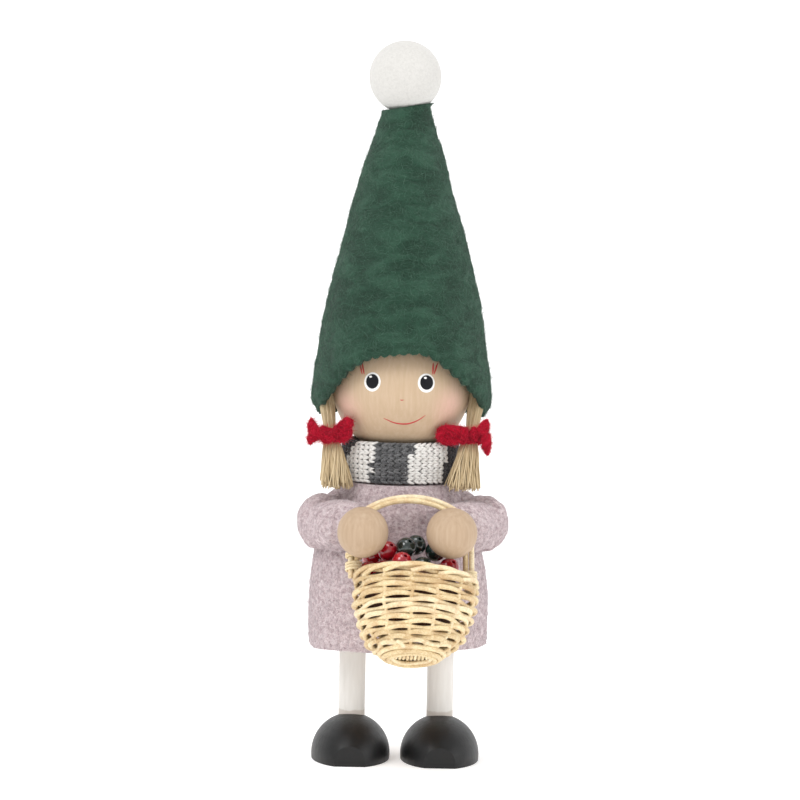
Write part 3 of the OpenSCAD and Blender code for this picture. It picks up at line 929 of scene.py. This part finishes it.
def sleeve_blank(side):
    """The sleeve's rough shape as one closed mesh, ready to be blown up like a balloon."""
    elbow = np.array(ELBOWS[side], float)
    shoulder = np.array(SHOULDER) * [side, 1, 1]
    cuff = np.array(CUFF) * [side, 1, 1]
    bag = Bag()
    bag.add(*tubes(in_arm_frame(spline([shoulder, (shoulder + elbow) / 2, elbow], 8)), 4.9, 24))
    bag.add(*ball(in_arm_frame(elbow), 6.6, 20, 32))
    run = in_arm_frame(spline([elbow, (elbow + cuff) / 2 + [side * 0.8, 0, -0.2], cuff], 12))
    bag.add(*tubes(run, np.interp(np.arange(12), [0, 6, 11], [5.9, 5.6, 4.4]), 28))
    points, groups, _ = bag.arrays()
    mesh = bpy.data.meshes.new("sleeve_blank")
    faces = [row for group in groups for row in group.tolist()]
    mesh.from_pydata((points * MM * SIM).tolist(), [], faces)
    blank = bpy.data.objects.new("sleeve_blank", mesh)
    bpy.context.scene.collection.objects.link(blank)
    modifier = blank.modifiers.new("remesh", "REMESH")
    modifier.mode = "VOXEL"
    modifier.voxel_size = 0.62 * MM * SIM
    return blank


def baked(piece):
    """The piece's mesh with its modifiers applied."""
    graph = bpy.context.evaluated_depsgraph_get()
    mesh = bpy.data.meshes.new_from_object(piece.evaluated_get(graph))
    piece.modifiers.clear()
    piece.data = mesh
    return mesh


def mesh_points(mesh):
    flat = np.empty(len(mesh.vertices) * 3)
    mesh.vertices.foreach_get("co", flat)
    return flat.reshape(-1, 3)


def blow_up(piece, held, furthest):
    """Blows the cloth up a little, longer and wider than its frame, so that it creases."""
    start = mesh_points(piece.data)
    group = piece.vertex_groups.new(name="held")
    group.add([int(i) for i in np.flatnonzero(held)], 1.0, "REPLACE")
    cloth = piece.modifiers.new("cloth", "CLOTH")
    settings = cloth.settings
    settings.quality = 6
    settings.mass = 0.3
    settings.use_pressure = True
    settings.uniform_pressure_force = 3.5
    settings.shrink_min = -0.13
    settings.tension_stiffness = 18
    settings.compression_stiffness = 18
    settings.bending_stiffness = 1.2
    settings.vertex_group_mass = "held"
    settings.effector_weights.gravity = 0
    cloth.collision_settings.use_collision = False
    cloth.collision_settings.use_self_collision = False
    for number in range(1, 21):
        bpy.context.scene.frame_set(number)
    baked(piece)
    end = mesh_points(piece.data)
    move = end - start
    far = np.linalg.norm(move, axis=1, keepdims=True)
    limit = furthest * MM * SIM
    move *= np.minimum(1, limit / np.maximum(far, 1e-9))
    return (start + move) / (MM * SIM)


def make_sleeve(name, side, seed):
    blank = sleeve_blank(side)
    baked(blank)
    points = mesh_points(blank.data) / (MM * SIM)
    cuff = in_arm_frame(np.array(CUFF) * [side, 1, 1])
    ahead = in_arm_frame([0, -1, 0]) - AXIS
    to_cuff = (points - cuff) @ ahead
    inside = np.hypot(points[:, 0] - AXIS[0], points[:, 1] - AXIS[1]) < 15.2
    points = blow_up(blank, (to_cuff > -1.2) | inside, 1.7)
    creases = 0.5 * lumps(points, (2.4, 5, 2.4), seed) + 0.35 * lumps(points, (3.4, 2.6, 3.4), seed + 3)
    middle = in_arm_frame(ELBOWS[side])
    outward = unit(points - middle * [1, 1, 1])
    calm = smooth(-to_cuff, 0.5, 4)[:, None]
    points = points + outward * creases[:, None] * calm * 0.8
    blank.data.vertices.foreach_set("co", (points * MM).ravel())
    blank.name = name + "_felt"
    blank.data.materials.clear()
    blank.data.materials.append(MATERIALS["coat_felt"])
    blank.data.polygons.foreach_set("use_smooth", np.ones(len(blank.data.polygons), bool))
    subdivide = blank.modifiers.new("smooth", "SUBSURF")
    subdivide.levels = subdivide.render_levels = 1
    baked(blank)
    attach(blank, "root")
    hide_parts(name)
    fuzz_on(blank, name, 2600, seed)
    make_cuff(name, cuff, ahead, seed)
    return blank


def fuzz_on(piece, name, count, seed):
    rng = dice(seed)
    points = mesh_points(piece.data) / MM
    quads = np.array([p.vertices[:] for p in piece.data.polygons if len(p.vertices) == 4])
    where, normal = sampled(points, [quads], count, rng)
    fuzz = Bag()
    fuzz.add(*fibres(where, normal, rng, 1.9, 0.03, 0.4))
    return fuzz.object(name + "_fuzz", [MATERIALS["coat_fibre"]], "root")


def make_cuff(name, cuff, ahead, seed):
    """The cut edge of the felt, standing a little past the end of the stuffing."""
    columns, rows = 72, 12
    turn = np.linspace(0, 2 * math.pi, columns, endpoint=False)[None]
    up = np.linspace(0, 1, rows)[:, None]
    across = unit(np.cross(ahead, [0, 0, 1]))

    def skin(depth):
        radius = 4.55 + 0.15 * np.sin(3 * turn + seed) + 0.1 * np.sin(7 * turn) - depth - 0.35 * (1 - up)
        along = -1.6 + 1.85 * up + 0.15 * np.sin(5 * turn + seed) * up
        ring = np.cos(turn)[..., None] * across + np.sin(turn)[..., None] * np.array([0, 0, 1])
        return cuff + ring * radius[..., None] + along[..., None] * ahead

    bag = Bag()
    bag.add(*shell(skin(0), skin(0.9)))
    return bag.object(name + "_cuff", [MATERIALS["coat_felt"]], "root")


def make_hand(name, side):
    bag = Bag()
    low, high = cad_box(name)
    middle = (low + high) / 2
    radius = (high[0] - low[0]) / 2
    bag.add(*ball(middle, radius, 64, 128))
    return bag.object(name + "_ball", [MATERIALS["hand_wood"]], "root", [name])


# ------------------------------------------------------------------ basket


BASKET_LEAN, BASKET_ROLL, BASKET_X = 29, 1, 1.5
OVAL = 0.72
RIM_H, BASE_H = -13.3, -33.9
STAKES, WEAVES = 13, 14
WALL_PROFILE = (
    [BASE_H + 0.5, BASE_H + 1.6, BASE_H + 2.6, BASE_H + 5, BASE_H + 9.8, BASE_H + 14.8, RIM_H],
    [5.6, 7.7, 9.5, 11.4, 13.2, 14.4, 14.3],
)


def in_basket(points):
    """Points from the basket's own frame, whose heights are from the line it hangs on."""
    points = np.asarray(points, float) + [BASKET_X, 0, 0]
    turn = Matrix.Rotation(math.radians(-BASKET_LEAN), 3, "X")
    turn = turn @ Matrix.Rotation(math.radians(BASKET_ROLL), 3, "Y")
    points = points @ np.array(turn).T
    return in_arm_frame(points) - AXIS + HINGE


def oval_ring(turn, radius, height):
    """Points of the oval basket at a turn, a radius along its width and a height."""
    turn, radius, height = np.broadcast_arrays(turn, radius, height)
    aside = np.interp(height, [BASE_H, RIM_H], [0.2, 1.2])
    return np.stack([aside + radius * np.cos(turn), OVAL * radius * np.sin(turn), height], -1)


def oval_out(turn):
    out = np.stack([OVAL * np.cos(turn), np.sin(turn), 0 * turn], -1)
    return unit(out)


def droop(turn):
    """How far the right-hand side of the basket sags, in millimetres."""
    return 0.8 * (1 + np.cos(turn))


def wall_radius(height):
    return soft_profile(height, *WALL_PROFILE, 0.9)


def up_the_wall(share):
    """Radius and height at a share of the way up the wall, measured along its slope."""
    height = np.linspace(BASE_H + 1.3, RIM_H - 0.9, 80)
    radius = wall_radius(height)
    gone = np.concatenate([[0], np.cumsum(np.hypot(np.diff(height), np.diff(radius)))])
    height = np.interp(np.asarray(share) * gone[-1], gone, height)
    return wall_radius(height), height


def weaver_path():
    """One long strand that goes round and round, in front of one stake and behind the next."""
    per = STAKES * 8
    turn = np.linspace(0, 2 * math.pi * WEAVES, WEAVES * per + 1)
    share = turn / turn[-1]
    radius, height = up_the_wall(0.05 + 0.92 * share)
    height += 0.2 * np.sin(turn * 3.1 + 1) + 0.14 * np.sin(turn * 5.7)
    height -= droop(turn) * share
    weave = 0.6 * np.cos(turn * STAKES / 2) + 0.08 * np.sin(turn * 7.3)
    return oval_ring(turn, radius, height) + oval_out(turn) * weave[:, None]


def stake_paths():
    paths = []
    for i in range(STAKES):
        turn = 2 * math.pi * (i + 0.5) / STAKES + 0.03 * math.sin(i * 5)
        flat = [(share * 7.4, BASE_H + 0.9) for share in (0.6, 0.93)]
        flat += list(zip(*up_the_wall(np.linspace(0.06, 1.06, 14))))
        sag = droop(turn) / (RIM_H - BASE_H)
        line = [
            oval_ring(turn + 0.02 * math.sin(h + i), r, h - sag * (h - BASE_H)) for r, h in flat
        ]
        paths.append(spline(line, 60))
    return np.array(paths)


def make_basket_wall():
    bag = Bag()
    weaver = weaver_path()
    steps = len(weaver)
    thick = 0.63 + 0.06 * np.sin(np.arange(steps) * 0.11) + 0.04 * np.sin(np.arange(steps) * 0.37)
    pieces = 9
    for k in range(pieces):
        low = k * steps // pieces
        high = min(steps, (k + 1) * steps // pieces + 3)
        bag.add(*tubes(in_basket(weaver[low:high]), thick[low:high], 10))
    stakes = stake_paths()
    bag.add(*tubes(in_basket(stakes), 0.44, 10))
    end = [[-3.5, -9.5, BASE_H + 1.9], [-2.6, -10.6, BASE_H + 0.8], [-2, -11, BASE_H]]
    bag.add(*tubes(in_basket(spline(end, 14) * [1, OVAL, 1]), 0.48, 10))
    return bag.object("basket_weave", [MATERIALS["cane"]], "basket", ["basket_wall"])


def make_basket_base():
    """Oval rings of cane round a small panel of short slats."""
    bag = Bag()
    ring = np.linspace(0, 2 * math.pi, 120, endpoint=False)
    for radius, height, thick in ((7.7, 1.1, 0.64), (6.7, 0.2, 0.62), (5.6, -0.2, 0.58), (4.6, 0.1, 0.5)):
        wobble = 0.1 * np.sin(3 * ring + radius)
        path = oval_ring(ring, radius, BASE_H + height + wobble)
        bag.add(*tubes(in_basket(path), thick, 10, closed=True))
    for i in range(9):
        across = (i - 4) * 0.92 + 0.2
        half = 0.6 * OVAL * math.sqrt(4.9**2 - (i - 4) ** 2 * 0.85)
        slat = [[across, -half, BASE_H + 0.7], [across, 0, BASE_H + 0.3], [across, half, BASE_H + 0.7]]
        bag.add(*tubes(in_basket(spline(slat, 20)), 0.36, 8))

    def floor(points):
        return in_basket(points * [7.2, 5.1, 0.3] + [0.2, 0, BASE_H + 1.3])

    bag.add(*ball([0, 0, 0], [1, 1, 1], 12, 48, floor))
    return bag.object("basket_bottom", [MATERIALS["cane"]], "basket", ["basket_base"])


def make_basket_rim():
    """A folded border: each stake bends over and runs on slanting along the top edge."""
    rng = dice(53)
    bag = Bag()
    count = STAKES
    long = 2 * math.pi / count * 3.1
    t = np.linspace(0, 1, 40)
    for i in range(count):
        start = 2 * math.pi * (i + 0.5) / count
        turn = start + long * t
        rise = np.interp(t, [0, 0.14, 0.4, 0.75, 1], [-1.4, -0.1, 0.65, 0.25, -0.75])
        out = np.interp(t, [0, 0.15, 0.4, 0.75, 1], [0.1, 0.75, 0.5, -0.45, -0.75])
        height = RIM_H + soft(rise) + rng.uniform(-0.12, 0.12) - droop(turn)
        path = oval_ring(turn, 14.3, height) + oval_out(turn) * soft(out)[:, None]
        bag.add(*tubes(in_basket(path), 0.62 * rng.uniform(0.92, 1.06), 10))
    return bag.object("basket_border", [MATERIALS["cane"]], "basket", ["basket_rim"])


def soft(values):
    """A row of values with its corners rounded off."""
    padded = np.pad(values, 4, mode="edge")
    return np.convolve(padded, np.ones(9) / 9, mode="valid")


def handle_line(out, sway):
    """One cane of the handle, from foot to foot over the top."""
    reach = 13.3 + out
    turn = np.linspace(0, math.pi, 60)
    spring = -2
    arch = np.stack([reach * np.cos(turn), 0 * turn, spring + 9.4 * reach / 13.3 * np.sin(turn)], -1)
    share = np.linspace(0, 1, 16)[:-1]
    right = np.stack([np.full(15, reach), 0 * share, RIM_H - 1.6 + share * (spring - RIM_H + 1.6)], -1)
    left = np.stack([np.full(15, -reach), 0 * share, spring + (1 - share[::-1]) * (RIM_H - spring)], -1)
    line = np.concatenate([right, arch, left])
    line[:, 1] += sway * np.sin(np.linspace(0, math.pi, len(line)) * 2.0) * 0.25
    return line


def binding(middle, reach, low, high, turns):
    """Cane wound round both canes of one leg of the handle."""
    turn = np.linspace(0, 2 * math.pi * turns, 22 * turns)
    across = (reach[1] - reach[0]) / 2 + 1.05
    x = middle * ((reach[0] + reach[1]) / 2) + across * np.cos(turn)
    return np.stack([x, 1.05 * np.sin(turn), np.linspace(low, high, len(turn))], -1)


def make_basket_handle():
    bag = Bag()
    for out, sway in ((0, 1), (1.45, -1)):
        line = handle_line(out, sway)
        along = np.linspace(0, 30, len(line))
        bag.add(*tubes(in_basket(line), 0.64 + 0.025 * np.sin(along), 12))
    for side, low, high in ((-1, -11.6, -9.4), (1, -13.4, -11.2)):
        bag.add(*tubes(in_basket(binding(side, (13.3, 14.75), low, high, 3)), 0.38, 8))
    bag.add(*tubes(in_basket(binding(-1, (13.3, 14.75), -8.1, -6.9, 2)), 0.36, 8))
    return bag.object("basket_hoop", [MATERIALS["cane"]], "basket", ["basket_handle"])


def make_filler():
    bag = Bag()
    rows, columns = 60, 120

    def lumpy(points):
        return points * (1 + 0.05 * lumps(points, 0.28, 8) + 0.03 * lumps(points, 0.1, 9))[:, None]

    middle = np.array([0, 0, RIM_H - 4.9])
    points, faces = ball([0, 0, 0], [11.9, 8.3, 9.1], rows, columns, lumpy)
    points = in_basket(points + middle)
    bag.add(points, faces)
    return bag.object("basket_moss", [MATERIALS["moss"]], "basket", ["basket_filler"])


def make_berry(node, colour, seed):
    """A round glass bead with a small hole, turned its own way."""
    rng = dice(seed)
    low, high = cad_box(node)
    radius = (high - low).max() / 2
    tilt = np.arcsin(np.linspace(-1, 1, 42) * math.cos(0.22))
    turn = np.linspace(0, 2 * math.pi, 72, endpoint=False)[None]

    def ring(r, z):
        return np.stack([r * np.cos(turn), r * np.sin(turn), z + 0 * turn], -1)

    outer = ring(np.cos(tilt)[:, None], np.sin(tilt)[:, None])
    bore = np.full((42, 1), math.sin(0.2) * 0.9)
    inner = ring(bore, np.sin(tilt)[:, None] * 0.985)
    points, faces = shell(outer * radius, inner * radius)
    turn = Matrix.Rotation(math.radians(25 + rng.uniform(-4, 4)), 3, "Y")
    turn = Matrix.Rotation(math.radians(40), 3, "X") @ turn
    points = points @ np.array(turn).T + (low + high) / 2
    bag = Bag()
    bag.add(points, faces)
    return bag.object(node + "_bead", [MATERIALS[colour]], "basket", [node])


# ------------------------------------------------------------------ making it all


def leg_paint():
    p = Paint("leg_paint", Specular_IOR_Level=0.35)
    brush = p.noise((1.2, 1.2, 9), 4)
    base = p.ramp(brush, (0.3, srgb(220, 216, 210)), (0.7, srgb(230, 227, 222)))
    height = p.node("SeparateXYZ", {0: p.place}).outputs["Z"]
    wobble = p.sum(p.noise(2.5), 0.0012, "MULTIPLY")
    height = p.sum(height, wobble, "SUBTRACT")
    span = {"Value": height, "From Min": 0.0112, "From Max": 0.0117, "To Min": 1.0, "To Max": 0.0}
    stain = p.node("MapRange", span, interpolation_type="SMOOTHSTEP").outputs["Result"]
    base = p.mix(p.sum(stain, 0.3, "MULTIPLY"), base, srgb(150, 120, 92))
    return p.colour(base).rough(brush, 0.45, 0.6).bump((brush, 0.02)).material


def moss():
    p = Paint("moss", Specular_IOR_Level=0.2, Sheen_Weight=0.2)
    clump = p.noise(0.8, 5, 1.5)
    base = p.ramp(clump, (0.3, srgb(52, 30, 24)), (0.5, srgb(86, 52, 40)), (0.7, srgb(120, 84, 62)))
    return p.colour(base).rough(clump, 0.85, 1).bump((clump, 0.3), (p.noise(0.3), 0.15)).material


def all_materials():
    mauve = (srgb(140, 112, 118), srgb(204, 183, 186), srgb(242, 232, 232))
    shades = (srgb(172, 147, 120), srgb(180, 155, 129), srgb(188, 165, 140))
    return {
        "hand_wood": beech("hand_wood", shades),
        "plain_wood": beech("plain_wood", shades),
        "hair": flax(),
        "red_yarn": yarn("red_yarn", srgb(80, 2, 12), srgb(150, 4, 26), srgb(210, 28, 58), 0.06),
        "red_fibre": wool_fibre("red_fibre", srgb(120, 2, 22), srgb(222, 40, 70)),
        "coat_felt": felt("coat_felt", *mauve, (1, 1, 0.9), 0.12),
        "coat_fibre": wool_fibre("coat_fibre", srgb(138, 112, 120), srgb(236, 226, 228)),
        "yarn_dark": yarn("yarn_dark", srgb(38, 36, 38), srgb(62, 59, 62), srgb(98, 95, 98)),
        "yarn_white": yarn("yarn_white", srgb(206, 203, 198), srgb(232, 229, 225), srgb(246, 245, 242)),
        "yarn_grey": yarn("yarn_grey", srgb(30, 31, 33), srgb(66, 66, 69), srgb(148, 148, 149)),
        "fibre_dark": wool_fibre("fibre_dark", srgb(60, 60, 64), srgb(130, 130, 132)),
        "fibre_white": wool_fibre("fibre_white", srgb(214, 211, 206), srgb(246, 245, 243)),
        "fibre_grey": wool_fibre("fibre_grey", srgb(40, 40, 44), srgb(170, 170, 170)),
        "cane": straw("cane", srgb(190, 160, 112), srgb(230, 208, 163), srgb(248, 237, 208)),
        "red_bead": glossy_bead("red_bead", srgb(150, 10, 26), srgb(196, 24, 44)),
        "green_bead": glossy_bead("green_bead", srgb(14, 26, 24), srgb(26, 44, 38)),
        "moss": moss(),
        "leg": leg_paint(),
        "shoe": painted("shoe_paint", srgb(16, 16, 17), srgb(36, 36, 36), (0.38, 0.5)),
        "wire": wire_metal(),
    }


def dress(node, material):
    """Gives a CAD node's own object a better material."""
    for slot in bpy.data.objects[node].material_slots:
        slot.material = material


def make_stage():
    """A pale floor that curves up into the backdrop far behind the object."""
    turn = np.linspace(0, math.pi / 2, 24)
    bend = np.stack([900 + 900 * np.sin(turn), 900 - 900 * np.cos(turn)], -1)
    line = np.concatenate([[[-20000, 0], [0, 0]], bend, [[1800, 3000]]])
    points = [[x, y, z] for y, z in line for x in (-20000, 0, 20000)]
    bag = Bag()
    bag.add(points, [grid_faces(len(line), 3, wrap=False)])
    p = Paint("floor_paper", Specular_IOR_Level=0.1, Emission_Strength=0.3)
    p.shader.inputs["Emission Color"].default_value = (1, 1, 1, 1)
    tone = p.noise(400, 2)
    p.colour(p.ramp(tone, (0.3, srgb(246, 246, 246)), (0.7, srgb(249, 249, 249))))
    points, groups, _ = bag.arrays()
    mesh = bpy.data.meshes.new("backdrop")
    mesh.from_pydata((points * MM).tolist(), [], groups[0].tolist())
    mesh.polygons.foreach_set("use_smooth", np.ones(len(mesh.polygons), bool))
    mesh.materials.append(p.rough(tone, 0.9, 1).material)
    backdrop = bpy.data.objects.new("backdrop", mesh)
    bpy.context.scene.collection.objects.link(backdrop)


def add_light(name, place, aim, size, power):
    light = bpy.data.lights.new(name, "AREA")
    light.shape = "DISK"
    light.size = size
    light.energy = power
    lamp = bpy.data.objects.new(name, light)
    lamp.location = place
    lamp.rotation_euler = (Vector(aim) - Vector(place)).to_track_quat("-Z", "Y").to_euler()
    bpy.context.scene.collection.objects.link(lamp)


def make_sky():
    """An even white sky, which is as bright as the floor where it is seen past the floor's edge."""
    world = bpy.data.worlds.new("studio")
    world.use_nodes = True
    tree = world.node_tree
    glow = tree.nodes["Background"]
    seen = tree.nodes.new("ShaderNodeBackground")
    for sky, strength in ((glow, 0.75), (seen, 1.2)):
        sky.inputs["Color"].default_value = (1, 1, 1, 1)
        sky.inputs["Strength"].default_value = strength
    mix = tree.nodes.new("ShaderNodeMixShader")
    path = tree.nodes.new("ShaderNodeLightPath")
    tree.links.new(path.outputs["Is Camera Ray"], mix.inputs[0])
    tree.links.new(glow.outputs[0], mix.inputs[1])
    tree.links.new(seen.outputs[0], mix.inputs[2])
    tree.links.new(mix.outputs[0], tree.nodes["World Output"].inputs["Surface"])
    bpy.context.scene.world = world


def make_lights():
    make_sky()
    aim = (0, 0, 0.09)
    add_light("key", (-0.6, -0.7, 0.95), aim, 0.6, 5.5)
    add_light("fill", (1.1, -0.35, 0.45), aim, 0.9, 3)
    add_light("top", (0, -0.25, 1.2), aim, 0.6, 3.2)
    add_light("low", (0.1, -1.1, 0.12), aim, 0.8, 0.9)


def make_camera():
    """A long lens in front, a little above the head, looking slightly down."""
    lens = bpy.data.cameras.new("camera")
    lens.sensor_width = 36
    lens.lens = 171
    camera = bpy.data.objects.new("camera", lens)
    bpy.context.scene.collection.objects.link(camera)
    place = Vector((AXIS[0] - 0.35, AXIS[1] - 950, 165)) * MM
    pitch, roll = math.radians(90 - 4.5), math.radians(1.07)
    camera.matrix_world = (
        Matrix.Translation(place) @ Matrix.Rotation(pitch, 4, "X") @ Matrix.Rotation(roll, 4, "Z")
    )
    bpy.context.scene.camera = camera


make_camera()
make_stage()
make_lights()
bpy.context.scene.view_settings.view_transform = "Standard"
MATERIALS = all_materials()
make_head()
make_face()
make_pom()
make_hat()
make_pigtail("pigtail_left", 1, 21)
make_pigtail("pigtail_right", -1, 22)
make_hair_tie("hair_tie_left", 1, BOW_LEFT, 23)
make_hair_tie("hair_tie_right", -1, BOW_RIGHT, 24)
make_scarf()
make_coat()
make_sleeve("sleeve_left", 1, 43)
make_sleeve("sleeve_right", -1, 44)
make_hand("hand_left", 1)
make_hand("hand_right", -1)
make_basket_wall()
make_basket_base()
make_basket_rim()
make_basket_handle()
make_filler()
for number in range(1, 9):
    make_berry("berry_red_%d" % number, "red_bead", 60 + number)
for number in range(1, 5):
    make_berry("berry_green_%d" % number, "green_bead", 70 + number)
for node, material in (
    ("leg_left", "leg"),
    ("leg_right", "leg"),
    ("shoe_left", "shoe"),
    ("shoe_right", "shoe"),
    ("body_core", "plain_wood"),
    ("neck_peg", "plain_wood"),
    ("arm_wire_left", "wire"),
    ("arm_wire_right", "wire"),
):
    dress(node, MATERIALS[material])
